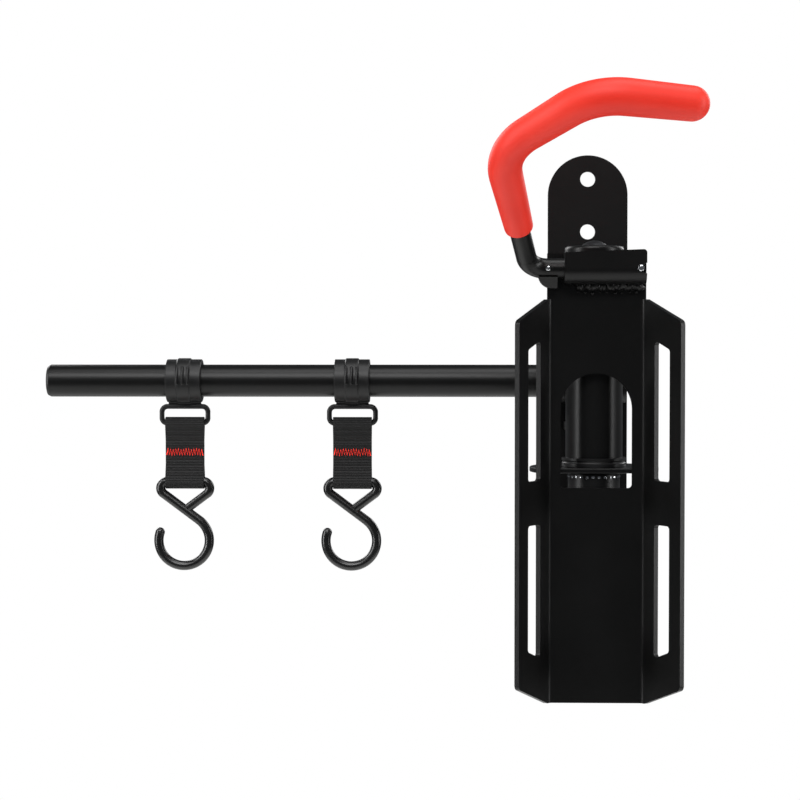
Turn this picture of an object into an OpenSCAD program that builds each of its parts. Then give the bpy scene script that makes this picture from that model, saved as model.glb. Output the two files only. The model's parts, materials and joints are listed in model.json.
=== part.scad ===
// Bicycle wall rack: a wall plate carries a pivot tube and a gear bar, a wheel tray swings on
// the tube, a sleeved wheel hook folds on the tray, and two strap hangers slide on the bar.
// Origin: middle of the upper pair of wall holes, on the wall face. +Y into the wall, +Z up.

/* [Wall plate] */
// Width of the flat bar that is screwed to the wall
plate_w = 50; // [42:1:64]
// Thickness of the wall plate
plate_t = 4; // [3:0.5:6]
// Overall length of the wall plate
plate_len = 254; // [210:1:310]
// Diameter of each wall screw hole
wall_hole_d = 9.5; // [6:0.5:11]
// Distance between the two holes of a pair
wall_hole_pitch = 33; // [24:1:42]
// From an end of the plate to the nearest hole centre
wall_hole_end = 15; // [12:1:20]

/* [Pivot] */
// From the wall to the centre of the pivot tube
axle_reach = 73; // [60:1:90]
// Outer diameter of the pivot tube
tube_d = 34; // [28:1:42]
// Wall of the pivot tube
tube_wall = 2.6; // [2:0.2:4]
// Length of the pivot tube
tube_len = 112; // [92:1:136]
// How far the pivot tube sits below the middle of the wall plate
tube_drop = 3; // [0:1:10]
// Diameter of the pivot bolt
bolt_d = 10; // [8:1:12]
// How far a bush flange stands out past the tube all round
bush_lip = 2.2; // [1.5:0.1:3]
// Thickness of a bush flange
bush_flange_t = 5.2; // [3:0.2:6.4]
// Length of a bush inside the tube
bush_len = 16; // [10:1:22]
// Diameter of the domed cap on top of the pivot
cap_d = 35.2; // [30:0.2:42]
// Height of the cap on top of the pivot
cap_h = 5.6; // [4:0.2:8]
// Diameter of the pivot bolt's head
head_d = 15; // [13:0.5:18]
// Height of the pivot bolt's head
head_h = 3.4; // [3:0.2:6]
// Diameter of the cover over the pivot nut
nut_cover_d = 31; // [29:0.5:36]
// Length of the cover over the pivot nut
nut_cover_len = 18; // [16:1:26]

/* [Arms] */
// Width of the two arms between plate and tube
arm_w = 30; // [22:1:33]
// Thickness of an arm
arm_t = 5; // [4:0.5:8]
// From an end of the tube to the nearest arm
arm_inset = 14; // [8:1:22]

/* [Tray] */
// Thickness of the tray's sheet steel
sheet_t = 3; // [2:0.5:4]
// Clear space between the bush flanges and the back of the tray
tray_gap = 0.4; // [0.3:0.1:3]
// Width of the flat panel, measured between the two folds
panel_w = 54; // [46:1:66]
// Width of the neck above the wings
neck_w = 58; // [50:1:70]
// Length of the neck, from its top to the wings
neck_len = 27; // [22:1:36]
// Length of the tray along the folds
tray_len = 238; // [196:1:288]
// Flat width of a wing past its fold
wing_w = 36; // [29:1:44]
// Angle between wing and panel
wing_angle = 60; // [45:1:75]
// Inside radius of the folds
fold_r = 3; // [2:0.5:5]
// How much shorter a wing is at its outer edge, at each end
wing_taper = 13; // [6:1:20]
// Radius of the wings' outer corners
wing_corner_r = 3.5; // [2:0.5:6]
// Width of the wing slots
slot_w = 15; // [12:0.5:18]
// Metal between the fold and a slot
slot_inset = 10; // [6:0.5:12]
// Metal above the upper slots
slot_top = 24; // [18:1:30]
// Metal between upper and lower slots
slot_gap = 25.5; // [18:0.5:32]
// Metal below the lower slots
slot_bottom = 28; // [20:1:36]
// How much longer the upper slots are than the lower ones
slot_extra = 3.5; // [0:0.5:8]
// Corner radius of the slots
slot_r = 2.2; // [1:0.2:4]
// Width of the arched window
window_w = 42; // [34:1:44]
// Height of the arched window
window_h = 67.5; // [50:0.5:76]
// Metal between the lower swivel plate and the window's sill
window_drop = 8.5; // [4:0.5:14]
// Thickness of the two swivel plates
swivel_t = 3; // [2:0.5:5]
// Diameter of the upper swivel plate
upper_swivel_d = 56; // [46:1:64]
// Diameter of the lower swivel plate
lower_swivel_d = 77; // [60:1:84]

/* [Hook] */
// Diameter of the hook's steel rod
rod_d = 12; // [10:0.5:14]
// Sheet thickness of the hinge barrel
barrel_t = 3; // [2:0.5:4]
// Left end of the barrel from the middle of the tray
barrel_left = 19.5; // [14:0.5:20]
// Right end of the barrel from the middle of the tray
barrel_right = 28; // [22:0.5:30]
// From the top of the neck down to the hinge line
hinge_drop = 9.2; // [8:0.2:13]
// Height of the front leaf above the hinge line, at its left end
leaf_h = 9.2; // [7:0.2:12]
// How much higher the front leaf is at its right end
leaf_rise = 1.8; // [0:0.2:3]
// Angle between the hook in use and the upright
hook_lean = 50; // [35:1:60]
// Inside corner points of the hook's line in its own plane: foot, elbow, shoulder
hook_foot = [-39.9, 0]; // [-60:0.1:60]
// Elbow point
hook_elbow = [-58.4, 96.7]; // [-100:0.1:140]
// Shoulder point
hook_shoulder = [-9, 139.3]; // [-100:0.1:200]
// Length of the hook's cross piece past the shoulder, to the end of the sleeve
cross_len = 62.7; // [50:0.5:80]
// Fall of the cross piece towards its tip, in degrees
cross_fall = 8.2; // [0:0.2:14]
// Centreline bend radius at the foot
foot_r = 12; // [12:0.5:16]
// Centreline bend radius at the elbow
elbow_r = 34; // [24:1:40]
// Centreline bend radius at the shoulder
shoulder_r = 40; // [30:1:50]
// Where the sleeve starts, along the leg from the foot
sleeve_start = 35; // [26:1:45]
// Sleeve diameters at the leg, elbow, shoulder and tip
sleeve_d = [16.6, 19.2, 20.4, 19.2]; // [14:0.2:26]
// Width of the stop lug under the rod
lug_w = 11; // [9:0.5:11]
// Depth of the stop lug below the hinge line
lug_drop = 11.5; // [10:0.5:16]

/* [Gear bar] */
// Outer diameter of the gear bar
bar_d = 20; // [16:1:24]
// Wall of the gear bar
bar_wall = 1.5; // [1:0.1:2]
// From the wall to the centre of the gear bar
bar_reach = 27; // [22:1:32]
// How far the gear bar sits below the middle of the wall plate
bar_drop = 14.3; // [0:0.1:20]
// From the middle of the rack to the free end of the bar
bar_left = 335; // [290:1:420]
// Wall of the socket that holds the bar
socket_wall = 3.5; // [3:0.5:5]
// Length of the socket
socket_len = 44; // [32:1:50]
// Thickness of the end plug's head
plug_head_t = 2; // [1.5:0.5:4]

/* [Hangers] */
// From the middle of the rack to each hanger at rest
hanger_x = [-251.5, -147]; // [-310:0.5:-60]
// Width of the clip band round the bar
clip_w = 21.7; // [18:0.1:26]
// Thickness of the clip band
clip_t = 3; // [2.4:0.2:4]
// Width of the neck between band and frame
clip_neck_w = 20; // [12:0.5:21]
// From the band down to the centre of the frame's upper bar
clip_neck_h = 2.8; // [2:0.2:6]
// Width inside the strap frame
frame_in_w = 25.5; // [21:0.1:31]
// Height inside the strap frame
frame_in_h = 7.2; // [6.4:0.2:12]
// Diameter of the frame's bars
frame_bar_d = 3.2; // [2.4:0.2:3.8]
// Width of the strap
strap_w = 23.4; // [18:0.2:23.6]
// Thickness of the webbing
strap_t = 1.3; // [1:0.1:1.6]
// From the frame's lower bar to the top bar of the wire hook
strap_len = 36.4; // [30:0.2:46]
// Height of the stitched band
stitch_h = 5; // [4:0.5:8]
// Diameter of the coated wire
wire_d = 5.8; // [4.6:0.2:6.4]
// Length of the straight top bar of the wire hook
top_bar = 22.2; // [22:0.2:30]
// Centreline bend radius beside the top bar
wire_bend_r = 4.2; // [3.4:0.2:6]
// Slope of the two sides of the wire hook's eye
eye_slope = 36.7; // [34:0.1:46]
// Centreline radius of the wire hook's bowl
bowl_r = 15.8; // [13:0.2:20]
// Direction of the wire hook's tip, seen from the middle of the bowl
tip_angle = 161; // [140:1:175]

/* [Hidden] */
$fn = 64;

eps = 0.01;
hair = 0.1;
// Free space between faces that move past each other
play = 0.3;
// Radial clearance of shafts that run in a bore
run_fit = 0.06;
// Radial clearance of pieces that are pushed or welded in place
seat_fit = 0.02;

plate_top = wall_hole_pitch / 2 + wall_hole_end;
plate_mid = plate_top - plate_len / 2;
lower_pair_z = 2 * plate_mid;

tube_top = plate_mid - tube_drop + tube_len / 2;
tube_bottom = tube_top - tube_len;
bush_d = tube_d + 2 * bush_lip;
upper_swivel_z = tube_top + bush_flange_t + play;
lower_swivel_z = tube_bottom - bush_flange_t - play - swivel_t;
cap_z = upper_swivel_z + swivel_t;
nut_z = lower_swivel_z;
nut_af = 1.7 * bolt_d;
nut_h = 0.8 * bolt_d;
washer_t = 2;
thread_out = 3;

axle_y = -axle_reach;
panel_back = axle_y - bush_d / 2 - tray_gap;
panel_front = panel_back - sheet_t;
neck_top = cap_z + 0.5;
shoulder_z = neck_top - neck_len;
tray_bottom = shoulder_z - tray_len;
fold_x = panel_w / 2 - fold_r / 2;
lower_slot_len = (tray_len - slot_top - slot_gap - slot_bottom - slot_extra) / 2;
upper_slot_len = lower_slot_len + slot_extra;
window_sill = lower_swivel_z - window_drop;

hinge_y = panel_front - barrel_t - run_fit - rod_d / 2;
hinge_z = neck_top - hinge_drop;
barrel_r = rod_d / 2 + run_fit;
pin_d = 4;
pin_x = barrel_right - 3.5;
groove_depth = 2.2;
rod_end_x = barrel_right - 0.3;
lug_x = -barrel_left - 4 - lug_w;
stop_pin_d = 3;
stop_pin_x = lug_x + lug_w / 2;

cross_dir = [cos(cross_fall), -sin(cross_fall)];
cross_end = hook_shoulder + cross_len * cross_dir;
sleeve_tip = cross_end - sleeve_d[3] / 2 * cross_dir;
rod_tip = sleeve_tip - 4 * cross_dir;
leg_dir = unit(hook_elbow - hook_foot);

bar_y = -bar_reach;
bar_z = plate_mid - bar_drop;
bar_right = socket_len / 2 - 1;
socket_d = bar_d + 2 * socket_wall;
grub_d = 6;

clip_in_r = bar_d / 2 + play;
clip_out_r = clip_in_r + clip_t;
frame_high_z = bar_z - clip_out_r - clip_neck_h;
frame_low_z = frame_high_z - frame_in_h - frame_bar_d;
frame_x = frame_in_w / 2 + frame_bar_d / 2;
wire_z = frame_low_z - strap_len;
frame_wrap_r = frame_bar_d / 2 + play;
wire_wrap_r = wire_d / 2 + play;
stitch_z = (frame_low_z + wire_z) / 2;
stitch_t = 0.5;
// The bowl touches the slanting side of the eye, and hangs a little to its left
bowl_shift = 0.8;
wire_corner_x = top_bar / 2 + wire_bend_r * tan((180 - eye_slope) / 2);
wire_bowl_z = -(wire_corner_x - bowl_shift) * tan(eye_slope) - bowl_r / cos(eye_slope);

function unit(v) = v / norm(v);
function heading(a, b) = atan2(b[1] - a[1], b[0] - a[0]);
function wrapped(t) = t > 180 ? t - 360 : (t < -180 ? t + 360 : t);
// Signed change of direction at the middle one of three points
function turn(a, b, c) = wrapped(heading(b, c) - heading(a, b));
// Distance from a corner to where its bend of radius r begins
function setback(a, b, c, r) = r * tan(abs(turn(a, b, c)) / 2);
// Centre of the bend of radius r at corner b
function bend_centre(a, b, c, r) =
  b - setback(a, b, c, r) * unit(b - a)
    + sign(turn(a, b, c)) * r * [-sin(heading(a, b)), cos(heading(a, b))];
// Points of an outline whose every corner is rounded to its own radius
function rounded(p, r, steps = 8) = [
  for (i = [0:len(p) - 1])
    let (
      a = p[(i + len(p) - 1) % len(p)],
      b = p[i],
      c = p[(i + 1) % len(p)],
      m = bend_centre(a, b, c, r[i]),
      from = heading(a, b) - sign(turn(a, b, c)) * 90
    )
    for (k = [0:(r[i] > 0 ? steps : 0)])
      let (w = from + turn(a, b, c) * k / steps)
      m + r[i] * [cos(w), sin(w)]
];

// Point where a line from p touches the circle round m, on the chosen side
function off_circle(m, r, p, side) =
  let (w = heading(m, p) + side * acos(r / norm(p - m)))
  m + r * [cos(w), sin(w)];

// Straight stretch in the XY plane from point a to point b, with its own two diameters. It
// runs a hair into the bends at its ends and is a hair thinner, so that they join cleanly
module stretch(a, b, d1, d2) {
  translate([a[0], a[1], 0])
    rotate([0, 90, heading(a, b)])
      translate([0, 0, -hair])
        cylinder(d1 = d1 - hair, d2 = d2 - hair, h = norm(b - a) + 2 * hair);
}

// Round bend in the XY plane at corner b, between the lines from a and to c
module bend(a, b, c, r, d) {
  t = turn(a, b, c);
  m = bend_centre(a, b, c, r);
  from = heading(a, b) - sign(t) * 90;
  translate([m[0], m[1], 0])
    rotate([0, 0, min(from, from + t)])
      rotate_extrude(angle = abs(t))
        translate([r, 0]) circle(d = d);
}

// The hook above its foot, with its diameters at leg, elbow, shoulder and tip
module hook_upper(from, d, to) {
  s2 = setback(hook_foot, hook_elbow, hook_shoulder, elbow_r);
  s3 = setback(hook_elbow, hook_shoulder, cross_end, shoulder_r);
  rise = unit(hook_shoulder - hook_elbow);
  stretch(from, hook_elbow - s2 * leg_dir, d[0], d[1]);
  bend(hook_foot, hook_elbow, hook_shoulder, elbow_r, d[1]);
  stretch(hook_elbow + s2 * rise, hook_shoulder - s3 * rise, d[1], d[2]);
  bend(hook_elbow, hook_shoulder, cross_end, shoulder_r, d[2]);
  stretch(hook_shoulder + s3 * cross_dir, to, d[2], d[3]);
}

// Puts the hook's own plane in place: it turns on the hinge line and leans forward
module at_hook() {
  translate([0, hinge_y, hinge_z]) rotate([90 + hook_lean, 0, 0]) children();
}

// Outline in X and Z, made as thick as from y_front to y_back
module upright(y_front, y_back) {
  translate([0, y_back, 0]) rotate([90, 0, 0]) linear_extrude(y_back - y_front) children();
}

// Outline in Y and Z, made as long as from x1 to x2
module sideways(x1, x2) {
  translate([x1, 0, 0]) rotate([90, 0, 90]) linear_extrude(x2 - x1) children();
}

// Cylinder along X from x1 to x2
module lengthwise(x1, x2, d) {
  translate([x1, 0, 0]) rotate([0, 90, 0]) cylinder(d = d, h = x2 - x1);
}

// ---- fixed on the wall ----

module wall_plate() {
  r = plate_w / 2;
  color("#1b1b1c")
    upright(-plate_t, 0)
      difference() {
        union() {
          translate([-r, plate_top - plate_len + r]) square([plate_w, plate_len - plate_w]);
          for (z = [plate_top - r, plate_top - plate_len + r]) translate([0, z]) circle(r = r);
        }
        for (pair = [0, lower_pair_z], side = [-1, 1])
          translate([0, pair + side * wall_hole_pitch / 2]) circle(d = wall_hole_d);
      }
}

// Plate that stands out from the wall plate and is welded round the back of the tube
module arm(z) {
  difference() {
    translate([-arm_w / 2, axle_y, z]) cube([arm_w, axle_reach - plate_t, arm_t]);
    translate([0, axle_y, z - 1]) cylinder(d = tube_d + 2 * seat_fit, h = arm_t + 2);
  }
}

module upper_arm() {
  color("#1b1b1c") arm(tube_top - arm_inset - arm_t);
}

module lower_arm() {
  color("#1b1b1c") arm(tube_bottom + arm_inset);
}

module pivot_tube() {
  color("#1b1b1c")
    translate([0, axle_y, tube_bottom])
      difference() {
        cylinder(d = tube_d, h = tube_len);
        translate([0, 0, -1]) cylinder(d = tube_d - 2 * tube_wall, h = tube_len + 2);
      }
}

// Flanged bush with its flange up and the flange's seat at z = 0; a groove parts the lip
module bush() {
  difference() {
    union() {
      cylinder(d = bush_d, h = bush_flange_t);
      translate([0, 0, -bush_len])
        cylinder(d = tube_d - 2 * tube_wall - 2 * seat_fit, h = bush_len + eps);
    }
    translate([0, 0, -bush_len - 1])
      cylinder(d = bolt_d + 2 * run_fit, h = bush_len + bush_flange_t + 2);
    translate([0, 0, bush_flange_t * 0.45])
      rotate_extrude() translate([bush_d / 2 + 0.5, 0]) circle(r = 1);
  }
}

module upper_bush() {
  color("#2a2a2b") translate([0, axle_y, tube_top]) bush();
}

module lower_bush() {
  color("#2a2a2b") translate([0, axle_y, tube_bottom]) mirror([0, 0, 1]) bush();
}

module bar_socket() {
  color("#1b1b1c")
    translate([0, bar_y, bar_z])
      difference() {
        union() {
          lengthwise(-socket_len / 2, socket_len / 2, socket_d);
          translate([-socket_len / 2, 0, -socket_d / 2])
            cube([socket_len, bar_reach - plate_t, socket_d]);
        }
        lengthwise(-socket_len / 2 - 1, socket_len / 2 + 1, bar_d + 2 * seat_fit);
        translate([socket_len / 4, 0, -socket_d]) cylinder(d = grub_d + 2 * seat_fit, h = socket_d);
      }
}

module bar_set_screw() {
  color("#8d8f92")
    translate([socket_len / 4, bar_y, bar_z - socket_d / 2 - 1])
      difference() {
        cylinder(d = grub_d, h = socket_wall + 1 - 0.1);
        translate([0, 0, -1]) cylinder(d = grub_d / 2, h = 3, $fn = 6);
      }
}

module gear_bar() {
  color("#1b1b1c")
    translate([0, bar_y, bar_z])
      difference() {
        lengthwise(-bar_left, bar_right, bar_d);
        lengthwise(-bar_left - 1, bar_right + 1, bar_d - 2 * bar_wall);
      }
}

module bar_end_plug() {
  in_d = bar_d - 2 * bar_wall - 2 * seat_fit;
  color("#2f2f31")
    translate([-bar_left, bar_y, bar_z])
      rotate([0, 90, 0])
        difference() {
          union() {
            translate([0, 0, -plug_head_t]) cylinder(d1 = bar_d - 2, d2 = bar_d, h = plug_head_t);
            translate([0, 0, -eps]) cylinder(d = in_d, h = 0.7 * bar_d);
          }
          translate([0, 0, 1]) cylinder(d = in_d - 3, h = bar_d);
        }
}

// ---- swings with the tray ----

// Slot outline with its fold-side lower corner at the origin; rise slants the lower end, fall
// the upper one
function slot_points(len, rise, fall) =
  rounded([[0, 0], [slot_w, rise], [slot_w, len - fall], [0, len]], [slot_r, slot_r, slot_r, slot_r]);

// One face of the right-hand fold, seen from above, from the panel to the wing
function fold_arc(r, steps = 10) = [
  for (i = [0:steps])
    let (w = 90 - wing_angle * i / steps)
    [fold_x + r * cos(w), panel_front - fold_r + r * sin(w)]
];

// What is cut from a wing, in its own flat: x across the wing from the fold, y along the fold
module wing_cuts() {
  slant = slot_w * wing_taper / wing_w;
  start = 0.4;
  difference() {
    translate([start, tray_bottom - 1]) square([wing_w, tray_len + 2]);
    polygon(rounded(
      [
        [0, tray_bottom - 1], [start, tray_bottom], [wing_w, tray_bottom + wing_taper],
        [wing_w, shoulder_z - wing_taper], [start, shoulder_z], [0, shoulder_z + 1]
      ],
      [0, 0, wing_corner_r, wing_corner_r, 0, 0]
    ));
  }
  translate([slot_inset, shoulder_z - slot_top - upper_slot_len])
    polygon(slot_points(upper_slot_len, 0, slant));
  translate([slot_inset, tray_bottom + slot_bottom])
    polygon(slot_points(lower_slot_len, slant, 0));
}

// Lays the wing's flat on the wing at the +X side, right through the sheet
module through_wing() {
  translate([fold_x, panel_front - fold_r, 0])
    rotate([0, 0, -wing_angle])
      translate([0, fold_r + sheet_t + 1, 0])
        rotate([90, 0, 0]) linear_extrude(sheet_t + 2) children();
}

// Sheet folded to a trough with two slotted wings, and a neck above them
module tray() {
  arch_r = window_w / 2;
  straight = window_h - arch_r;
  reach = wing_w * [cos(wing_angle), -sin(wing_angle)];
  back = fold_arc(fold_r + sheet_t);
  front = fold_arc(fold_r);
  half = [
    each back, back[len(back) - 1] + reach, front[len(front) - 1] + reach,
    for (i = [len(front) - 1:-1:0]) front[i]
  ];
  color("#18181a")
    difference() {
      union() {
        translate([0, 0, tray_bottom])
          linear_extrude(tray_len)
            polygon([each half, for (i = [len(half) - 1:-1:0]) [-half[i][0], half[i][1]]]);
        upright(panel_front, panel_back)
          translate([-neck_w / 2, shoulder_z]) square([neck_w, neck_len]);
      }
      upright(panel_front - 1, panel_back + 1) {
        translate([0, window_sill + straight]) circle(r = arch_r);
        translate([-arch_r, window_sill])
          polygon(rounded(
            [[0, 0], [window_w, 0], [window_w, straight], [0, straight]],
            [slot_r, slot_r, 0, 0]
          ));
      }
      for (side = [0, 1]) mirror([side, 0, 0]) through_wing() wing_cuts();
    }
}

// Round plate behind the tray, cut flat where it is welded to the panel
module swivel_plate(d, z) {
  difference() {
    translate([0, axle_y, z]) cylinder(d = d, h = swivel_t);
    translate([-d, panel_back - d, z - 1]) cube([2 * d, d, swivel_t + 2]);
    translate([0, axle_y, z - 1]) cylinder(d = bolt_d + 2 * seat_fit, h = swivel_t + 2);
  }
}

module upper_swivel_plate() {
  color("#1b1b1c") swivel_plate(upper_swivel_d, upper_swivel_z);
}

module lower_swivel_plate() {
  color("#1b1b1c") swivel_plate(lower_swivel_d, lower_swivel_z);
}

// Sheet bent round the rod, open upwards, with a longer front leaf and a notch for the pin
module hinge_barrel() {
  out_r = barrel_r + barrel_t;
  long = barrel_right + barrel_left;
  color("#18181a")
    translate([0, hinge_y, hinge_z])
      difference() {
        union() {
          lengthwise(-barrel_left, barrel_right, 2 * out_r);
          translate([-barrel_left, barrel_r, 0]) cube([long, barrel_t, hinge_drop]);
          translate([0, -barrel_r, 0])
            rotate([90, 0, 0])
              linear_extrude(barrel_t)
                polygon(rounded(
                  [
                    [-barrel_left, 0], [barrel_right, 0],
                    [barrel_right, leaf_h + leaf_rise], [-barrel_left, leaf_h]
                  ],
                  [0, 0, 2, 0.6]
                ));
        }
        lengthwise(-barrel_left - 1, barrel_right + 1, 2 * barrel_r);
        translate([-barrel_left - 1, -barrel_r, 0]) cube([long + 2, 2 * barrel_r, out_r + 1]);
        translate([pin_x, 0, 0])
          rotate([90, 0, 0]) {
            cylinder(d = pin_d + 2 * seat_fit, h = out_r + 1);
            linear_extrude(out_r + 1)
              polygon([
                [0, -pin_d / 2], [barrel_right, -pin_d * 2.6],
                [barrel_right, pin_d * 2.6], [0, pin_d / 2]
              ]);
          }
      }
}

// Weld run in the corner under the barrel
module barrel_weld() {
  color("#161617")
    difference() {
      sideways(-barrel_left + 4, barrel_right - 2)
        polygon([
          [panel_front, hinge_z - barrel_r - barrel_t - 3],
          [panel_front, hinge_z - barrel_t],
          [hinge_y, hinge_z - barrel_r - barrel_t],
          [hinge_y + 2, hinge_z - barrel_r - barrel_t - 1.4]
        ]);
      translate([0, hinge_y, hinge_z])
        lengthwise(-barrel_left, barrel_right, 2 * (barrel_r + barrel_t + seat_fit));
    }
}

// Pin held in the barrel's notch; its end runs in the rod's groove and keeps the rod in
module rod_retaining_pin() {
  inner = rod_d / 2 - groove_depth + play;
  color("#c9cbcd")
    translate([pin_x, hinge_y - inner, hinge_z])
      rotate([90, 0, 0]) cylinder(d = pin_d, h = barrel_r + barrel_t + 1 - inner);
}

module pivot_bolt() {
  long = cap_z + cap_h - nut_z + washer_t + nut_h + thread_out;
  color("#2a2a2b")
    translate([0, axle_y, cap_z + cap_h]) {
      intersection() {
        cylinder(d = head_d, h = head_h);
        translate([0, 0, head_h - head_d * 0.75]) sphere(d = head_d * 1.5);
      }
      translate([0, 0, -long]) cylinder(d = bolt_d, h = long + eps);
    }
}

module pivot_cap() {
  rim = 1.2;
  color("#1b1b1c")
    translate([0, axle_y, cap_z])
      difference() {
        union() {
          cylinder(d = cap_d, h = cap_h - rim);
          translate([0, 0, cap_h - rim]) cylinder(d1 = cap_d, d2 = cap_d - 2 * rim, h = rim);
        }
        translate([0, 0, -1]) cylinder(d = bolt_d + 2 * seat_fit, h = cap_h + 2);
      }
}

// Washer and hexagon nut as one group
module pivot_nut() {
  color("#8d8f92")
    translate([0, axle_y, nut_z])
      difference() {
        union() {
          translate([0, 0, -washer_t]) cylinder(d = 2 * bolt_d, h = washer_t);
          translate([0, 0, -washer_t - nut_h])
            cylinder(d = nut_af / cos(30), h = nut_h + eps, $fn = 6);
        }
        translate([0, 0, -washer_t - nut_h - 1])
          cylinder(d = bolt_d + 2 * seat_fit, h = washer_t + nut_h + 2);
      }
}

// Cup pushed over the nut, with a rounded shoulder
module nut_cover() {
  wall = 2.4;
  ease = 1.6;
  color("#232324")
    translate([0, axle_y, nut_z - nut_cover_len])
      difference() {
        union() {
          cylinder(d1 = nut_cover_d - 2 * ease, d2 = nut_cover_d, h = ease);
          translate([0, 0, ease]) cylinder(d = nut_cover_d, h = nut_cover_len - 2 * ease);
          translate([0, 0, nut_cover_len - ease])
            cylinder(d1 = nut_cover_d, d2 = nut_cover_d - ease, h = ease);
        }
        translate([0, 0, wall]) cylinder(d = nut_cover_d - 2 * wall, h = nut_cover_len);
      }
}

// ---- folds with the hook ----

module hook_rod() {
  s1 = setback([rod_end_x, 0], hook_foot, hook_elbow, foot_r);
  color("#1b1b1c")
    at_hook()
      difference() {
        union() {
          stretch([rod_end_x, 0], hook_foot + [s1, 0], rod_d, rod_d);
          bend([rod_end_x, 0], hook_foot, hook_elbow, foot_r, rod_d);
          hook_upper(hook_foot + s1 * leg_dir, [rod_d, rod_d, rod_d, rod_d], rod_tip);
        }
        translate([pin_x, 0, 0])
          rotate([0, 90, 0])
            rotate_extrude()
              translate([rod_d / 2 - groove_depth, -pin_d / 2 - play])
                square([groove_depth + 1, pin_d + 2 * play]);
        rotate([-90 - hook_lean, 0, 0])
          translate([stop_pin_x, rod_d, 0])
            rotate([90, 0, 0]) cylinder(d = stop_pin_d + 2 * seat_fit, h = 2 * rod_d);
      }
}

module hook_sleeve() {
  bore = rod_d + 2 * seat_fit;
  color("#e2483c")
    at_hook()
      difference() {
        union() {
          hook_upper(hook_foot + sleeve_start * leg_dir, sleeve_d, sleeve_tip);
          translate([sleeve_tip[0], sleeve_tip[1], 0]) sphere(d = sleeve_d[3]);
        }
        hook_upper(
          hook_foot + (sleeve_start - 1) * leg_dir, [bore, bore, bore, bore],
          rod_tip + seat_fit * cross_dir
        );
      }
}

// Block under the rod: its back bears on the neck when the hook is down for use
module stop_lug() {
  back = panel_front - hinge_y - play;
  color("#1b1b1c")
    difference() {
      intersection() {
        translate([0, hinge_y, hinge_z])
          sideways(lug_x, lug_x + lug_w)
            polygon([[back, -1], [back, -lug_drop], [0, -lug_drop], [-rod_d / 2 + 1, -rod_d / 2 + 1]]);
        upright(hinge_y - rod_d, panel_front)
          translate([lug_x, hinge_z - lug_drop])
            polygon(rounded(
              [[0, 0], [lug_w, 0], [lug_w, lug_drop], [0, lug_drop]],
              [8, 0.5, 0, 0]
            ));
      }
      translate([0, hinge_y, hinge_z])
        lengthwise(lug_x - 1, lug_x + lug_w + 1, rod_d + 2 * seat_fit);
    }
}

module stop_pin() {
  color("#c9cbcd")
    translate([stop_pin_x, hinge_y + rod_d / 2, hinge_z])
      rotate([90, 0, 0]) cylinder(d = stop_pin_d, h = rod_d + 0.8);
}

// ---- hangers ----

// Clip: band round the gear bar, neck, and a frame of round bars for the strap
module clip() {
  ridge_w = 7.8;
  ridge_t = 0.7;
  corner = 3.4;
  neck_t = frame_bar_d - 0.8;
  hub = frame_high_z - bar_z;
  in_x = frame_x - corner - 0.5;
  color("#202021") {
    translate([0, bar_y, bar_z])
      difference() {
        union() {
          lengthwise(-clip_w / 2, clip_w / 2, 2 * clip_out_r);
          lengthwise(-ridge_w / 2, ridge_w / 2, 2 * (clip_out_r + ridge_t));
          translate([0, neck_t / 2, 0])
            rotate([90, 0, 0])
              linear_extrude(neck_t)
                polygon([
                  [-clip_neck_w / 2, 0], [-clip_neck_w / 2, -clip_out_r - 0.5],
                  [-in_x, hub], [in_x, hub],
                  [clip_neck_w / 2, -clip_out_r - 0.5], [clip_neck_w / 2, 0]
                ]);
        }
        lengthwise(-clip_w, clip_w, 2 * clip_in_r);
      }
    translate([0, bar_y, 0]) rotate([90, 0, 0]) strap_frame(corner);
  }
}

// Closed frame of round bar in the XY plane, the heights taken as z
module strap_frame(corner) {
  p = [
    [-frame_x, frame_low_z], [frame_x, frame_low_z],
    [frame_x, frame_high_z], [-frame_x, frame_high_z]
  ];
  for (i = [0:3]) {
    a = p[(i + 3) % 4];
    b = p[i];
    c = p[(i + 1) % 4];
    bend(a, b, c, corner, frame_bar_d);
    stretch(b + corner * unit(c - b), c - corner * unit(c - b), frame_bar_d, frame_bar_d);
  }
}

// Webbing loop from the frame's lower bar to the wire hook, its two layers sewn together
module strap() {
  flat_h = strap_len * 0.42;
  low = stitch_z - flat_h / 2;
  high = stitch_z + flat_h / 2;
  above = off_circle([0, frame_low_z], frame_wrap_r + strap_t - eps, [strap_t, high], 1);
  below = off_circle([0, wire_z], wire_wrap_r + strap_t - eps, [strap_t, low], -1);
  right = [below, [strap_t, low], [strap_t, high], above];
  color("#1e1e1f")
    difference() {
      sideways(-strap_w / 2, strap_w / 2)
        translate([bar_y, 0]) {
          translate([0, frame_low_z]) circle(r = frame_wrap_r + strap_t);
          translate([0, wire_z]) circle(r = wire_wrap_r + strap_t);
          polygon([
            for (q = right) q,
            for (i = [3:-1:0]) [-right[i][0], right[i][1]]
          ]);
        }
      translate([0, bar_y, frame_low_z]) lengthwise(-strap_w, strap_w, 2 * frame_wrap_r);
      translate([0, bar_y, wire_z]) lengthwise(-strap_w, strap_w, 2 * wire_wrap_r);
    }
}

// Stitched band, one thin pad on each face of the strap
module stitching() {
  color("#e03a30")
    for (side = [0, 1])
      mirror([0, side, 0])
        translate([0, side ? -2 * bar_y : 0, 0])
          translate([-strap_w / 2 + 1, bar_y - strap_t - stitch_t, stitch_z - stitch_h / 2])
            cube([strap_w - 2, stitch_t, stitch_h]);
}

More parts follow.
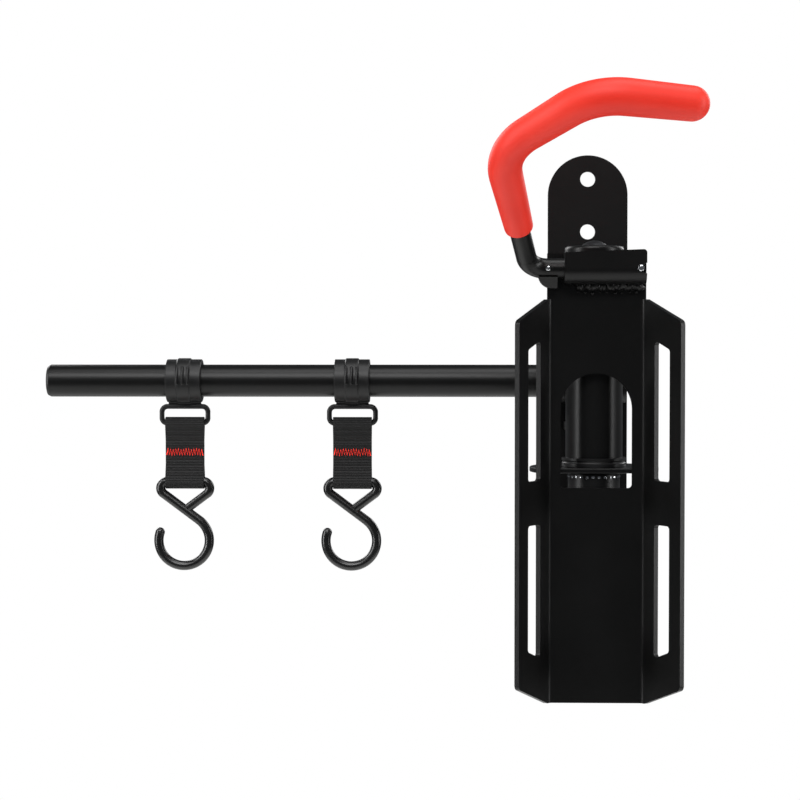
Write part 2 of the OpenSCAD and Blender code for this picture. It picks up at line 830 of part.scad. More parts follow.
// Coated wire bent to a three-cornered eye and an open bowl; its dip coat closes the eye
module wire_hook() {
  left = [-wire_corner_x, 0];
  right = [wire_corner_x, 0];
  cross = [0, -wire_corner_x * tan(eye_slope)];
  down = [cos(eye_slope), -sin(eye_slope)];
  bowl = [-bowl_shift, wire_bowl_z];
  leave = bowl + bowl_r * [sin(eye_slope), cos(eye_slope)];
  end = cross + wire_d / 3 * unit(right - cross);
  color("#161617")
    translate([0, bar_y, wire_z])
      rotate([90, 0, 0]) {
        stretch(end, right + setback(end, right, left, wire_bend_r) * unit(end - right), wire_d, wire_d);
        bend(end, right, left, wire_bend_r, wire_d);
        stretch([top_bar / 2, 0], [-top_bar / 2, 0], wire_d, wire_d);
        bend(right, left, leave, wire_bend_r, wire_d);
        stretch(left + setback(right, left, leave, wire_bend_r) * down, leave, wire_d, wire_d);
        translate([bowl[0], bowl[1], 0]) {
          rotate([0, 0, tip_angle - 360])
            rotate_extrude(angle = 360 - tip_angle + 90 - eye_slope)
              translate([bowl_r, 0]) circle(d = wire_d);
          rotate([0, 0, tip_angle]) translate([bowl_r, 0, 0]) sphere(d = wire_d + hair / 2);
        }
      }
}

module at_hanger(i) {
  translate([hanger_x[i], 0, 0]) children();
}

wall_plate();
upper_arm();
lower_arm();
pivot_tube();
upper_bush();
lower_bush();
bar_socket();
bar_set_screw();
gear_bar();
bar_end_plug();
tray();
upper_swivel_plate();
lower_swivel_plate();
hinge_barrel();
barrel_weld();
rod_retaining_pin();
pivot_bolt();
pivot_cap();
pivot_nut();
nut_cover();
hook_rod();
hook_sleeve();
stop_lug();
stop_pin();
at_hanger(0) clip();  // clip_outer
at_hanger(0) strap();  // strap_outer
at_hanger(0) stitching();  // stitching_outer
at_hanger(0) wire_hook();  // wire_hook_outer
at_hanger(1) clip();  // clip_inner
at_hanger(1) strap();  // strap_inner
at_hanger(1) stitching();  // stitching_inner
at_hanger(1) wire_hook();  // wire_hook_inner
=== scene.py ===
"""Bicycle wall rack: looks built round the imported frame. Metres, +X right, +Y into the wall, +Z up."""

import json
import math

import bpy
from mathutils import Matrix, Vector

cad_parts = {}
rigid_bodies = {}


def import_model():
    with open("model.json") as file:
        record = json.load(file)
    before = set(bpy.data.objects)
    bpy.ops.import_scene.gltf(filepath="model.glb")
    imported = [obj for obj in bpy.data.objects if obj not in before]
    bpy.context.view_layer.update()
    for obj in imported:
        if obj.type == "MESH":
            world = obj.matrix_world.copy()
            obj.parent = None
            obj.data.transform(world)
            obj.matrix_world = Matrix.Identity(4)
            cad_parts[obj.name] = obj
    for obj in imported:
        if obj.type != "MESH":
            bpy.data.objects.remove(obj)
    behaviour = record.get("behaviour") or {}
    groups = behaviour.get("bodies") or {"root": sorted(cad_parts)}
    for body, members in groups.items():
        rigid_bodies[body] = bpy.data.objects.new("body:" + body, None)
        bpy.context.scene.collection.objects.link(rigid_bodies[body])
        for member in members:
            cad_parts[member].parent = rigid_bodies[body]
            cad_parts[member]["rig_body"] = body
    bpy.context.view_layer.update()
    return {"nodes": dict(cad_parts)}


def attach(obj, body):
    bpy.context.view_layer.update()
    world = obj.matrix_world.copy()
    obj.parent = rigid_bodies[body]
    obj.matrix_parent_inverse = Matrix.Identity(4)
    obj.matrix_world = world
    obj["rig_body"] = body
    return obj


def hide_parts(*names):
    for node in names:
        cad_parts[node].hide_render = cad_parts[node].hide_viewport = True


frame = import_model()
MM = 0.001

# ---- Camera, lights and floor ----
# A long lens a little left of the tray and above the middle of the rack, turned slightly
# down. The rack hangs clear of a pale floor, in a white room with six soft boxes.
camera = bpy.data.cameras.new("camera")
camera.lens = 95.9
camera.sensor_width = 36
camera_object = bpy.data.objects.new("camera", camera)
camera_object.location = (-0.0791, -1.350, -0.0811)
camera_object.rotation_euler = (math.radians(90 - 1.76), 0, math.radians(1.66))
bpy.context.collection.objects.link(camera_object)
bpy.context.scene.camera = camera_object


def linear(code):
    """Linear colour of an sRGB hex value."""
    parts = [int(code[i : i + 2], 16) / 255 for i in (1, 3, 5)]
    return (*[c / 12.92 if c <= 0.04045 else ((c + 0.055) / 1.055) ** 2.4 for c in parts], 1)


def deselect():
    bpy.ops.object.select_all(action="DESELECT")


deselect()
world = bpy.data.worlds.new("white_room")
bpy.context.scene.world = world
world.use_nodes = True
sky = world.node_tree
path_kind = sky.nodes.new("ShaderNodeLightPath")
lit = sky.nodes["Background"]
lit.inputs["Color"].default_value = linear("#E4E8EE")
lit.inputs["Strength"].default_value = 0.12  # the room's own light is dim beside the soft boxes
seen = sky.nodes.new("ShaderNodeBackground")
seen.inputs["Color"].default_value = linear("#FFFFFF")
either = sky.nodes.new("ShaderNodeMixShader")
sky.links.new(path_kind.outputs["Is Camera Ray"], either.inputs[0])
sky.links.new(lit.outputs["Background"], either.inputs[1])
sky.links.new(seen.outputs["Background"], either.inputs[2])
sky.links.new(either.outputs["Shader"], sky.nodes["World Output"].inputs["Surface"])
bpy.context.scene.view_settings.view_transform = "Standard"

# name, place, what it faces, width and height in metres, watts
SOFT_BOXES = [
    ("light_left", (-1.35, -0.55, 0.15), (0, -0.08, -0.1), (0.3, 1.5), 16),
    ("light_right", (1.35, -0.55, 0.15), (0, -0.08, -0.1), (0.3, 1.5), 15),
    ("light_top", (0.1, -0.25, 1.25), (0, -0.08, -0.05), (1.4, 0.6), 12),
    ("light_front", (-0.3, -1.5, 1.15), (-0.1, -0.08, -0.05), (1.4, 0.8), 27),
    ("light_behind_left", (-1.0, 1.2, 0.5), (0, -0.08, -0.1), (0.7, 0.9), 9),
    ("light_behind_right", (1.0, 1.2, 0.5), (0, -0.08, -0.1), (0.7, 0.9), 9),
]
for name, place, target, size, power in SOFT_BOXES:
    light = bpy.data.lights.new(name, "AREA")
    light.shape = "RECTANGLE"
    light.size, light.size_y = size
    light.energy = power
    box = bpy.data.objects.new(name, light)
    box.location = place
    box.rotation_euler = (Vector(target) - Vector(place)).to_track_quat("-Z", "Y").to_euler()
    bpy.context.collection.objects.link(box)

bpy.ops.mesh.primitive_circle_add(vertices=96, radius=1.6, fill_type="NGON", location=(0, 0.1, -1.0))
floor = bpy.context.object
floor.name = "floor"
floor_paint = bpy.data.materials.new("pale_floor")
floor_paint.use_nodes = True
floor_shader = floor_paint.node_tree.nodes["Principled BSDF"]
floor_shader.inputs["Base Color"].default_value = linear("#F0F0EE")
floor_shader.inputs["Roughness"].default_value = 0.8
floor_shader.inputs["Emission Color"].default_value = linear("#F0F0EE")
floor_shader.inputs["Emission Strength"].default_value = 0.42  # keeps the floor pale in a dim room
floor.data.materials.append(floor_paint)

# ---- Powder-coated steel: wall plate, arms, tube, tray, hinge and bar ----
# Flat bar, tube and 3 mm sheet, cut, folded and welded, then coated in one go with black
# polyester powder. The coat rounds every cut edge a little and has a fine, even grain.


def node(tree, kind, settings=None, links=None):
    """Adds a node with its settings and its links, each from another node's named output."""
    made = tree.nodes.new(kind)
    for key, value in (settings or {}).items():
        if key in made.inputs:
            made.inputs[key].default_value = value
        else:
            setattr(made, key, value)
    for key, (other, output) in (links or {}).items():
        tree.links.new(other.outputs[output], made.inputs[key])
    return made


def principled(name, **sockets):
    """New material with these values on its Principled sockets; returns it, tree and shader."""
    made = bpy.data.materials.new(name)
    made.use_nodes = True
    shader = made.node_tree.nodes["Principled BSDF"]
    for key, value in sockets.items():
        shader.inputs[key.replace("_", " ")].default_value = value
    return made, made.node_tree, shader


def ramp(tree, source, output, stops):
    """Colour ramp fed by one output; stops are (position, colour)."""
    made = node(tree, "ShaderNodeValToRGB", links={"Fac": (source, output)})
    for element, (position, colour) in zip(made.color_ramp.elements, stops):
        element.position = position
        element.color = colour
    return made


def bump(tree, shader, source, output, height):
    """Bump of a real height in metres on the shader's normal."""
    made = node(
        tree, "ShaderNodeBump", {"Distance": height, "Strength": 1.0}, {"Height": (source, output)}
    )
    tree.links.new(made.outputs["Normal"], shader.inputs["Normal"])


GRAIN = 0.7 * MM  # powder grain, drawn about twice as coarse as it is so that it shows

powder_coat, tree, shader = principled(
    "black_powder_coat", Roughness=0.3, IOR=1.5, Specular_IOR_Level=0.24
)
place = node(tree, "ShaderNodeTexCoord")
grain = node(
    tree, "ShaderNodeTexNoise", {"Scale": 1 / GRAIN, "Detail": 3.0, "Roughness": 0.6},
    {"Vector": (place, "Object")},
)
cloud = node(
    tree, "ShaderNodeTexNoise", {"Scale": 28.0, "Detail": 2.0}, {"Vector": (place, "Object")}
)
tone = ramp(tree, cloud, "Fac", [(0.3, linear("#060606")), (0.7, linear("#0A0A0A"))])
tree.links.new(tone.outputs["Color"], shader.inputs["Base Color"])
gloss = node(
    tree, "ShaderNodeMapRange", {"To Min": 0.29, "To Max": 0.41}, {"Value": (grain, "Fac")}
)
tree.links.new(gloss.outputs["Result"], shader.inputs["Roughness"])
bump(tree, shader, grain, "Fac", 0.03 * MM)


def paint(piece, material):
    piece.data.materials.clear()
    piece.data.materials.append(material)


def solid_copy(name, source):
    """A welded copy of a CAD node's mesh, as a new piece, with its flat faces whole again."""
    deselect()
    mesh = frame["nodes"][source].data.copy()
    made = bpy.data.objects.new(name, mesh)
    bpy.context.collection.objects.link(made)
    made.select_set(True)
    bpy.context.view_layer.objects.active = made
    if mesh.has_custom_normals:
        bpy.ops.mesh.customdata_custom_splitnormals_clear()
    bpy.ops.object.mode_set(mode="EDIT")
    bpy.ops.mesh.select_all(action="SELECT")
    bpy.ops.mesh.remove_doubles(threshold=0.002 * MM)
    bpy.ops.mesh.dissolve_limited(angle_limit=math.radians(0.6))
    bpy.ops.object.mode_set(mode="OBJECT")
    return made


def rounded_piece(name, source, width, material):
    """Stands for a CAD node with its edges rounded to a real width, as a coat rounds them."""
    made = solid_copy(name, source)
    edge = made.modifiers.new("rounded_edges", "BEVEL")
    edge.width = width
    edge.segments = 3
    edge.limit_method = "ANGLE"
    edge.angle_limit = math.radians(35)
    edge.use_clamp_overlap = True
    bpy.ops.object.modifier_apply(modifier=edge.name)
    bpy.ops.object.shade_smooth_by_angle(angle=math.radians(28))
    flats = made.modifiers.new("flat_faces_stay_flat", "WEIGHTED_NORMAL")
    flats.keep_sharp = True
    flats.weight = 100
    for modifier in list(made.modifiers):
        bpy.ops.object.modifier_apply(modifier=modifier.name)
    paint(made, material)
    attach(made, frame["nodes"][source]["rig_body"])
    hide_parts(source)


# name, CAD node it stands for, rounding of its edges in mm
COATED = [
    ("flat_bar", "wall_plate", 0.7),
    ("upper_bracket", "upper_arm", 0.6),
    ("lower_bracket", "lower_arm", 0.6),
    ("socket", "bar_socket", 0.6),
    ("folded_tray", "tray", 0.8),
    ("upper_disc", "upper_swivel_plate", 0.5),
    ("lower_disc", "lower_swivel_plate", 0.6),
    ("barrel", "hinge_barrel", 1.1),
    ("cap", "pivot_cap", 0.9),
    ("lug", "stop_lug", 1.0),
]
for name, source, width in COATED:
    rounded_piece(name, source, width * MM, powder_coat)
for name in ("pivot_tube", "gear_bar", "hook_rod"):
    paint(frame["nodes"][name], powder_coat)

# ---- Moulded nylon: bushes, end plug and nut cover ----
# Black nylon, moulded in a lightly spark-eroded mould, so it is a shade greyer and duller
# than the powder coat beside it.
nylon, tree, shader = principled("moulded_nylon", Roughness=0.42, IOR=1.53, Specular_IOR_Level=0.3)
place = node(tree, "ShaderNodeTexCoord")
grain = node(
    tree, "ShaderNodeTexNoise", {"Scale": 1 / (0.5 * MM), "Detail": 2.0}, {"Vector": (place, "Object")}
)
tone = ramp(tree, grain, "Fac", [(0.3, linear("#090909")), (0.7, linear("#0E0E0F"))])
tree.links.new(tone.outputs["Color"], shader.inputs["Base Color"])
bump(tree, shader, grain, "Fac", 0.02 * MM)
for name in ("upper_bush", "lower_bush"):
    paint(frame["nodes"][name], nylon)
for name, source, width in (("end_plug", "bar_end_plug", 0.5), ("pivot_cover", "nut_cover", 0.5)):
    rounded_piece(name, source, width * MM, nylon)

# ---- Zinc-plated pins, screw and nut, and the oiled bolt ----
# Turned steel with a thin bright zinc plate; the bolt is blackened and oiled.
zinc, tree, shader = principled("zinc_plate", Metallic=1.0, Roughness=0.16)
place = node(tree, "ShaderNodeTexCoord")
mottle = node(
    tree, "ShaderNodeTexNoise", {"Scale": 1 / (1.5 * MM), "Detail": 4.0}, {"Vector": (place, "Object")}
)
tone = ramp(tree, mottle, "Fac", [(0.3, linear("#B9BCC0")), (0.7, linear("#D6D8DB"))])
tree.links.new(tone.outputs["Color"], shader.inputs["Base Color"])
bump(tree, shader, mottle, "Fac", 0.01 * MM)
oiled, tree, shader = principled("oiled_steel", Metallic=0.6, Roughness=0.38)
place = node(tree, "ShaderNodeTexCoord")
mottle = node(
    tree, "ShaderNodeTexNoise", {"Scale": 1 / (1.2 * MM), "Detail": 3.0}, {"Vector": (place, "Object")}
)
tone = ramp(tree, mottle, "Fac", [(0.3, linear("#1C1C1E")), (0.7, linear("#2B2B2D"))])
tree.links.new(tone.outputs["Color"], shader.inputs["Base Color"])
for name, source, width in (
    ("keeper_pin", "rod_retaining_pin", 1.3),
    ("cross_pin", "stop_pin", 1.0),
    ("lock_screw", "bar_set_screw", 0.2),
    ("hexagon_nut", "pivot_nut", 0.3),
):
    rounded_piece(name, source, width * MM, zinc)
paint(frame["nodes"]["pivot_bolt"], oiled)

# ---- Toothed ring under the lower disc ----
# A thin zinc-plated spring-steel ring with small teeth, let into the side of the nut cover.
TEETH = 26
RING_R = 15.75 * MM
RING_H = 1.3 * MM
RING_WALL = 0.9 * MM
GULLET = 0.45 * MM
AXLE_Y = -73 * MM
RING_Z = -165.7 * MM
deselect()
bpy.ops.mesh.primitive_cylinder_add(
    vertices=4 * TEETH, radius=RING_R, depth=RING_H, end_fill_type="NOTHING",
    location=(0, AXLE_Y, RING_Z),
)
ring = bpy.context.object
ring.name = "toothed_ring"
for point in ring.data.vertices:
    step = round(math.atan2(point.co.y, point.co.x) / (2 * math.pi) * 4 * TEETH)
    if step % 4 >= 2:
        point.co.xy *= (RING_R - GULLET) / RING_R
ring.data.transform(Matrix.Translation(ring.location))
ring.location = (0, 0, 0)
wall = ring.modifiers.new("ring_wall", "SOLIDIFY")
wall.thickness = RING_WALL
wall.offset = -1
bpy.ops.object.modifier_apply(modifier=wall.name)
edge = ring.modifiers.new("rounded_teeth", "BEVEL")
edge.width = 0.14 * MM
edge.segments = 2
bpy.ops.object.modifier_apply(modifier=edge.name)
bpy.ops.object.shade_smooth_by_angle(angle=math.radians(40))
paint(ring, zinc)
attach(ring, "tray_unit")

# ---- Coated wire hooks ----
# Spring wire bent to an eye and a bowl, dipped in glossy black vinyl that pools to a round
# end at the tip.
dip, tree, shader = principled(
    "glossy_dip_coat", Roughness=0.3, IOR=1.5, Coat_Weight=0.15, Coat_Roughness=0.2
)
place = node(tree, "ShaderNodeTexCoord")
wave = node(
    tree, "ShaderNodeTexNoise", {"Scale": 1 / (3 * MM), "Detail": 1.0}, {"Vector": (place, "Object")}
)
tone = ramp(tree, wave, "Fac", [(0.3, linear("#050505")), (0.7, linear("#090909"))])
tree.links.new(tone.outputs["Color"], shader.inputs["Base Color"])
bump(tree, shader, wave, "Fac", 0.02 * MM)
for name in ("wire_hook_outer", "wire_hook_inner"):
    paint(frame["nodes"][name], dip)

# ---- Red sleeve on the hook ----
# A dipped soft vinyl sleeve, thick and smooth, that narrows down the leg and ends in a round
# tip past the rod. Its lower rim is rolled in a little over the rod.
HINGE = Vector((0, -104.66, -42.7)) * MM
LEAN = math.radians(50)
FOOT = Vector((-39.9, 0))
ELBOW = Vector((-58.4, 96.7))
SHOULDER = Vector((-9, 139.3))
FALL = math.radians(8.2)
ACROSS = Vector((math.cos(FALL), -math.sin(FALL)))
FOOT_R = 8.3
LEG_R = 9.6
BEND_R = 10.2
TIP_R = 9.6
TIP = SHOULDER + (62.7 - TIP_R) * ACROSS
ELBOW_BEND_R = 34
SHOULDER_BEND_R = 40
SLEEVE_START = 35
RIM_R = 1.6


def bend_points(before, corner, after, radius):
    """Points of a bend of this centreline radius at a corner of the hook's line."""
    into = (corner - before).normalized()
    out = (after - corner).normalized()
    swing = into.angle_signed(out)
    back = radius * math.tan(abs(swing) / 2)
    side = Vector((into.y, -into.x)) * math.copysign(1, swing)
    centre = corner - back * into + radius * side
    spoke = -radius * side
    return [centre + Matrix.Rotation(-swing * i / 18, 2) @ spoke for i in range(19)]


def on_hook(point):
    """Place in the rack's frame of a point of the hook's own plane, in millimetres."""
    return HINGE + MM * Vector((point.x, -point.y * math.sin(LEAN), point.y * math.cos(LEAN)))


leg = (ELBOW - FOOT).normalized()
elbow = bend_points(FOOT, ELBOW, SHOULDER, ELBOW_BEND_R)
shoulder = bend_points(ELBOW, SHOULDER, SHOULDER + ACROSS, SHOULDER_BEND_R)
start = FOOT + SLEEVE_START * leg
line = []
for i in range(7):
    turn = math.radians(90 * i / 6)
    rim = start + RIM_R * (1 - math.cos(turn)) * leg
    line.append((rim, FOOT_R - RIM_R * (1 - math.sin(turn))))
line += [(start.lerp(elbow[0], i / 12), FOOT_R + (LEG_R - FOOT_R) * i / 12) for i in range(2, 12)]
line += [(point, LEG_R) for point in elbow]
line += [(elbow[-1].lerp(shoulder[0], i / 8), LEG_R + (BEND_R - LEG_R) * i / 8) for i in range(1, 8)]
line += [(point, BEND_R) for point in shoulder]
line += [(shoulder[-1].lerp(TIP, i / 12), BEND_R + (TIP_R - BEND_R) * i / 12) for i in range(1, 12)]
for i in range(13):
    turn = math.radians(89 * i / 12)
    line.append((TIP + TIP_R * math.sin(turn) * ACROSS, TIP_R * math.cos(turn)))


def tube(name, points, depth, sides):
    """Round tube along points, each (place, radius factor), as one closed mesh."""
    deselect()
    bpy.ops.curve.primitive_bezier_curve_add(location=(0, 0, 0))
    made = bpy.context.object
    made.name = name
    made.data.splines.clear()
    made.data.dimensions = "3D"
    spline = made.data.splines.new("POLY")
    spline.points.add(len(points) - 1)
    for target, (spot, factor) in zip(spline.points, points):
        target.co = (*spot, 1)
        target.radius = factor
    made.data.bevel_depth = depth
    made.data.bevel_resolution = sides
    made.data.use_fill_caps = True
    bpy.ops.object.convert(target="MESH")
    bpy.ops.object.mode_set(mode="EDIT")
    bpy.ops.mesh.select_all(action="SELECT")
    bpy.ops.mesh.remove_doubles(threshold=0.01 * MM)
    bpy.ops.mesh.normals_make_consistent(inside=False)
    bpy.ops.object.mode_set(mode="OBJECT")
    bpy.ops.object.shade_smooth()
    return bpy.context.object


sleeve = tube("sleeve", [(on_hook(point), radius / 10) for point, radius in line], 10 * MM, 14)
vinyl, tree, shader = principled(
    "soft_red_vinyl", Roughness=0.5, IOR=1.45, Specular_IOR_Level=0.35, Subsurface_Weight=0.12,
    Subsurface_Scale=2 * MM,
)
shader.inputs["Subsurface Radius"].default_value = (1.0, 0.25, 0.2)
place = node(tree, "ShaderNodeTexCoord")
cloud = node(tree, "ShaderNodeTexNoise", {"Scale": 40.0, "Detail": 3.0}, {"Vector": (place, "Object")})
skin = node(
    tree, "ShaderNodeTexNoise", {"Scale": 1 / (0.6 * MM), "Detail": 3.0}, {"Vector": (place, "Object")}
)
tone = ramp(tree, cloud, "Fac", [(0.25, linear("#D62A1B")), (0.75, linear("#DC3122"))])
tree.links.new(tone.outputs["Color"], shader.inputs["Base Color"])
gloss = node(tree, "ShaderNodeMapRange", {"To Min": 0.44, "To Max": 0.56}, {"Value": (skin, "Fac")})
tree.links.new(gloss.outputs["Result"], shader.inputs["Roughness"])
bump(tree, shader, skin, "Fac", 0.015 * MM)
paint(sleeve, vinyl)
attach(sleeve, "wheel_hook")
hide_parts("hook_sleeve")

# ---- Weld bead under the hinge barrel ----
# One pass of weld in the corner between barrel and neck, a row of uneven overlapping ripples
# with some spatter beside it, coated with the rest.
BEAD_START = -12.5
BEAD_END = 26.5
BEAD_R = 3.0
BEAD_Y = 6.2
BEAD_Z = -9.6
RIPPLES = 30
SPATTER_Y = 8.85
SPATTER_Z = -13.4


def joined(pieces):
    """The pieces as one mesh, which is the first of them."""
    deselect()
    for made in pieces:
        made.select_set(True)
    bpy.context.view_layer.objects.active = pieces[0]
    bpy.ops.object.join()
    return pieces[0]


bead_line = []
for i in range(4 * RIPPLES + 1):
    along = i / (4 * RIPPLES)
    swell = 0.86 + 0.16 * abs(math.sin(math.pi * i / 4)) + 0.12 * math.sin(1.7 * i) * math.sin(0.31 * i)
    x = BEAD_START + (BEAD_END - BEAD_START) * along
    drop = 0.35 * math.sin(0.37 * i) + 0.2 * math.sin(1.1 * i)
    spot = HINGE + MM * Vector((x, BEAD_Y + 0.2 * math.sin(0.5 * i), BEAD_Z + drop))
    bead_line.append((spot, swell))
beads = [tube("weld_bead", bead_line, BEAD_R * MM, 5)]
for i in range(9):
    bpy.ops.mesh.primitive_ico_sphere_add(subdivisions=2, radius=(0.45 + 0.25 * (i % 3)) * MM)
    spatter = bpy.context.object
    bpy.ops.object.mode_set(mode="EDIT")
    bpy.ops.transform.vertex_random(offset=0.12 * MM, seed=i)
    bpy.ops.object.mode_set(mode="OBJECT")
    x = -11 + 4.3 * i + 1.2 * math.sin(3.1 * i)
    z = SPATTER_Z - 0.9 * math.sin(2.3 * i) ** 2
    spatter.data.transform(Matrix.Translation(HINGE + MM * Vector((x, SPATTER_Y, z))))
    bpy.ops.object.shade_smooth()
    beads.append(spatter)
bead = joined(beads)
paint(bead, powder_coat)
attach(bead, "tray_unit")
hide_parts("barrel_weld")

# ---- Hanger clips ----
# One-piece moulded nylon: a band that grips the bar, with a raised ridge and three short
# grip ribs in front, and a waisted neck that spreads into the frame for the webbing. All its
# inner corners have a fillet, as a mould's do.
BAR_Y = -27 * MM
BAR_Z = -109.8 * MM
HANGERS = {"outer": -251.5 * MM, "inner": -147 * MM}
BAND_R = 13.3 * MM
GRIP_R = BAND_R + 1.8 * MM
GRIP_W = 1.1 * MM
GRIP_SPACING = 3.4 * MM
GRIP_Z = BAR_Z + 3.3 * MM
GRIP_HALF_H = 5.4 * MM
FILLET_VOXEL = 0.3 * MM

clip = solid_copy("clip", "clip_outer")
for i in (-1, 0, 1):
    bpy.ops.mesh.primitive_cylinder_add(vertices=64, radius=GRIP_R, depth=GRIP_W)
    rib = bpy.context.object
    bpy.ops.object.mode_set(mode="EDIT")
    bpy.ops.transform.rotate(value=math.radians(90), orient_axis="Y", center_override=(0, 0, 0))
    bpy.ops.object.mode_set(mode="OBJECT")
    place = Vector((HANGERS["outer"] + i * GRIP_SPACING, BAR_Y, BAR_Z))
    rib.data.transform(Matrix.Translation(place))
    deselect()
    rib.select_set(True)
    bpy.context.view_layer.objects.active = rib
    bpy.ops.object.mode_set(mode="EDIT")
    for side in (1, -1):
        bpy.ops.mesh.select_all(action="SELECT")
        bpy.ops.mesh.bisect(
            plane_co=(0, 0, GRIP_Z + side * GRIP_HALF_H), plane_no=(0, 0, side),
            clear_outer=True, use_fill=True,
        )
    bpy.ops.mesh.select_all(action="SELECT")
    bpy.ops.mesh.bisect(
        plane_co=(0, BAR_Y - BAND_R * 0.75, 0), plane_no=(0, 1, 0), clear_outer=True, use_fill=True
    )
    bpy.ops.object.mode_set(mode="OBJECT")
    clip.select_set(True)
    bpy.context.view_layer.objects.active = clip
    bpy.ops.object.join()
mould = clip.modifiers.new("mould", "REMESH")
mould.mode = "VOXEL"
mould.voxel_size = FILLET_VOXEL
fillet = clip.modifiers.new("fillet", "SMOOTH")
fillet.factor = 0.5
fillet.iterations = 3
lean = clip.modifiers.new("lean", "DECIMATE")
lean.ratio = 0.35
for modifier in list(clip.modifiers):
    bpy.ops.object.modifier_apply(modifier=modifier.name)
bpy.ops.object.shade_smooth()


def copies(master, material, node_stem, body_stem, stem):
    """The piece made for the outer hanger, and a copy of it with its own mesh for the inner."""
    twin = master.copy()
    twin.data = master.data.copy()
    twin.data.transform(Matrix.Translation((HANGERS["inner"] - HANGERS["outer"], 0, 0)))
    bpy.context.collection.objects.link(twin)
    for which, made in (("outer", master), ("inner", twin)):
        made.name = f"{stem}_{which}_piece"
        paint(made, material)
        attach(made, f"{body_stem}_{which}")
        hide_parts(f"{node_stem}_{which}")
    return master, twin


copies(clip, nylon, "clip", "clip", "clip")

# ---- Webbing straps ----
# 25 mm black polyester webbing, folded round the clip's frame and round the wire and sewn
# back on itself. It is woven with cross ribs about 1.7 mm apart and a fine warp.
STRAP_W = 24 * MM
WEBBING_T = 1.15 * MM
FRAME_Z = -136.3 * MM
WIRE_Z = -172.7 * MM
FRAME_WRAP_R = 3.3 * MM
WIRE_WRAP_R = 3.8 * MM
MID_Z = (FRAME_Z + WIRE_Z) / 2
FLAT_H = 15 * MM
RIB_PITCH = 1.7 * MM
RIB_H = 0.16 * MM
STEP = 0.2 * MM


def leave_point(z, radius, end, up):
    """Where the webbing leaves a bar for the sewn part, on the front."""
    away = Vector((-WEBBING_T / 2, end - z))
    spread = math.acos(radius / away.length)
    heading = math.atan2(away.y, away.x) + up * spread
    return Vector((radius * math.cos(heading), z + radius * math.sin(heading))), heading


top_leave, top_heading = leave_point(FRAME_Z, FRAME_WRAP_R, MID_Z + FLAT_H / 2, -1)
low_leave, low_heading = leave_point(WIRE_Z, WIRE_WRAP_R, MID_Z - FLAT_H / 2, 1)
front = [
    top_leave, Vector((-WEBBING_T / 2, MID_Z + FLAT_H / 2)),
    Vector((-WEBBING_T / 2, MID_Z - FLAT_H / 2)), low_leave,
]


def wrap_points(z, radius, first, last):
    """Points round a bar of this height, between two directions."""
    turns = [first + (last - first) * i / 24 for i in range(1, 24)]
    return [Vector((radius * math.cos(a), z + radius * math.sin(a))) for a in turns]


low_turn = low_heading % (2 * math.pi)
top_turn = top_heading % (2 * math.pi)
low_wrap = wrap_points(WIRE_Z, WIRE_WRAP_R, low_turn, 3 * math.pi - low_turn)
top_wrap = wrap_points(FRAME_Z, FRAME_WRAP_R, math.pi - top_turn, top_turn)
back = [Vector((-point.x, point.y)) for point in reversed(front)]
corners = front + low_wrap + back + top_wrap
corners.append(corners[0])
lengths = [(b - a).length for a, b in zip(corners, corners[1:])]
loop_len = sum(lengths)
rows = round(loop_len / STEP)
path = []
reach = 0.0
leg_no = 0
for i in range(rows):
    along = loop_len * i / rows
    while along > reach + lengths[leg_no]:
        reach += lengths[leg_no]
        leg_no += 1
    path.append(corners[leg_no].lerp(corners[leg_no + 1], (along - reach) / lengths[leg_no]))
for _ in range(4):
    path = [(path[i - 1] + 2 * path[i] + path[(i + 1) % rows]) / 4 for i in range(rows)]

COLUMNS = 24
points = []
for i, spot in enumerate(path):
    tangent = (path[(i + 1) % rows] - path[i - 1]).normalized()
    outwards = Vector((tangent.y, -tangent.x))
    along = loop_len * i / rows
    sewn = abs(spot.y - MID_Z) < 3 * MM
    rib = RIB_H * math.sin(2 * math.pi * along / RIB_PITCH) * (0.2 if sewn else 1)
    spot = spot - rib * outwards
    for j in range(COLUMNS + 1):
        x = HANGERS["outer"] + STRAP_W * (j / COLUMNS - 0.5)
        points.append((x, BAR_Y + spot.x, spot.y))
faces = [
    (
        i * (COLUMNS + 1) + j, i * (COLUMNS + 1) + j + 1,
        (i + 1) % rows * (COLUMNS + 1) + j + 1, (i + 1) % rows * (COLUMNS + 1) + j,
    )
    for i in range(rows)
    for j in range(COLUMNS)
]
mesh = bpy.data.meshes.new("webbing")
mesh.from_pydata(points, [], faces)
uv = mesh.uv_layers.new(name="weave")
for polygon in mesh.polygons:
    for corner in polygon.loop_indices:
        index = mesh.loops[corner].vertex_index
        row = index // (COLUMNS + 1)
        if row == 0 and polygon.index >= (rows - 1) * COLUMNS:
            row = rows
        uv.data[corner].uv = (index % (COLUMNS + 1) / COLUMNS * STRAP_W, row / rows * loop_len)
deselect()
strap = bpy.data.objects.new("webbing", mesh)
bpy.context.collection.objects.link(strap)
strap.select_set(True)
bpy.context.view_layer.objects.active = strap
bpy.ops.object.mode_set(mode="EDIT")
bpy.ops.mesh.select_all(action="SELECT")
bpy.ops.mesh.normals_make_consistent(inside=False)
bpy.ops.object.mode_set(mode="OBJECT")
cloth = strap.modifiers.new("webbing", "SOLIDIFY")
cloth.thickness = WEBBING_T
cloth.offset = 0
edge = strap.modifiers.new("selvedge", "BEVEL")
edge.width = 0.3 * MM
edge.segments = 2
edge.limit_method = "ANGLE"
edge.angle_limit = math.radians(60)
for modifier in list(strap.modifiers):
    bpy.ops.object.modifier_apply(modifier=modifier.name)
bpy.ops.object.shade_smooth()

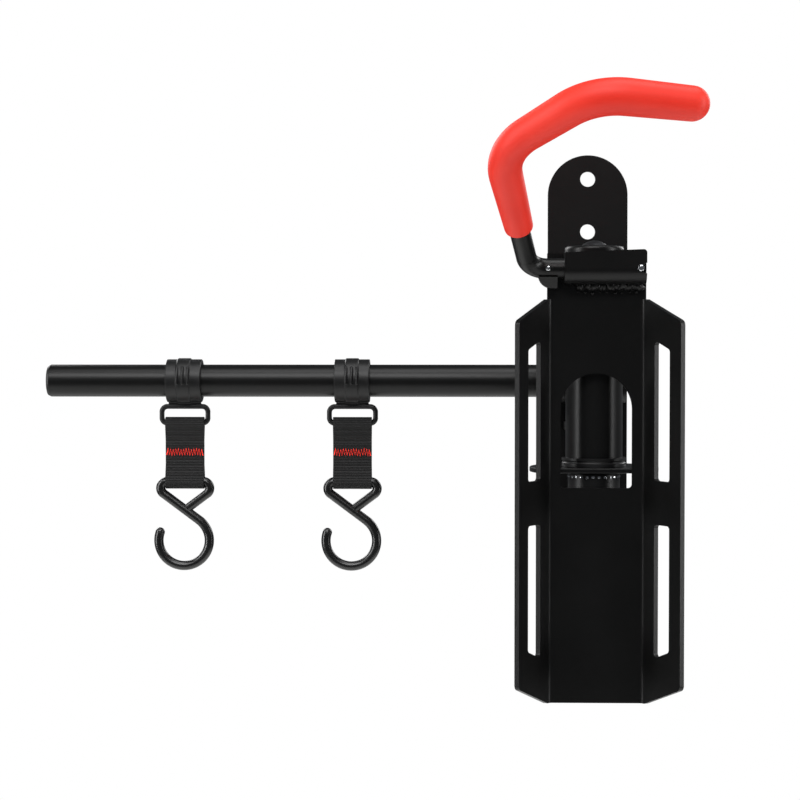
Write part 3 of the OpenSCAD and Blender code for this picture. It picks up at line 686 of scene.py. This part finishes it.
webbing, tree, shader = principled(
    "polyester_webbing", Roughness=0.6, IOR=1.5, Specular_IOR_Level=0.3, Sheen_Weight=0.03,
    Sheen_Roughness=0.4,
)
place = node(tree, "ShaderNodeUVMap", {"uv_map": "weave"})
WAVE_PERIOD = 2 * math.pi / 20  # of Blender's band pattern at scale 1
warp = node(
    tree, "ShaderNodeTexWave",
    {"wave_type": "BANDS", "bands_direction": "X", "Scale": WAVE_PERIOD / (0.9 * MM)},
    {"Vector": (place, "UV")},
)
weft = node(
    tree, "ShaderNodeTexWave",
    {"wave_type": "BANDS", "bands_direction": "Y", "Scale": WAVE_PERIOD / (0.7 * MM), "Distortion": 0.4},
    {"Vector": (place, "UV")},
)
weave = node(
    tree, "ShaderNodeMath", {"operation": "MULTIPLY"}, {0: (warp, "Fac"), 1: (weft, "Fac")}
)
tone = ramp(tree, weave, "Value", [(0.0, linear("#040404")), (0.8, linear("#0D0D0E"))])
tree.links.new(tone.outputs["Color"], shader.inputs["Base Color"])
bump(tree, shader, weave, "Value", 0.12 * MM)
for made in copies(strap, webbing, "strap", "strap", "strap"):
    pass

# ---- Bar tacks ----
# A dense zigzag of red polyester thread right through both layers, front and back.
THREAD_R = 0.36 * MM
TACK_W = 22.6 * MM
TACK_H = 5.2 * MM
STITCHES = 14
tacks = []
for side in (-1, 1):
    points = []
    for i in range(2 * STITCHES + 1):
        x = HANGERS["outer"] + TACK_W * (i / (2 * STITCHES) - 0.5)
        high = (1 if i % 2 else -0.8) * (0.85 + 0.15 * math.sin(i * 2.3 + side))
        y = BAR_Y + side * (WEBBING_T + THREAD_R * 0.6)
        points.append(((x, y, MID_Z + TACK_H / 2 * high), 1.0))
    tacks.append(tube(f"tack_{len(tacks)}", points, THREAD_R, 3))
tack = joined(tacks)
# The thread's emission is painted light: a faint red glow that brightens the tack where the lamps leave
# its front dim.
thread, tree, shader = principled(
    "red_thread", Roughness=0.6, IOR=1.5, Sheen_Weight=0.1, Emission_Strength=0.5,
    Emission_Color=linear("#FF2A18"),
)
place = node(tree, "ShaderNodeTexCoord")
twist = node(
    tree, "ShaderNodeTexNoise", {"Scale": 1 / (0.5 * MM), "Detail": 2.0}, {"Vector": (place, "Object")}
)
tone = ramp(tree, twist, "Fac", [(0.35, linear("#F81A10")), (0.65, linear("#FF3A26"))])
tree.links.new(tone.outputs["Color"], shader.inputs["Base Color"])
bump(tree, shader, twist, "Fac", 0.05 * MM)
copies(tack, thread, "stitching", "strap", "bar_tack")
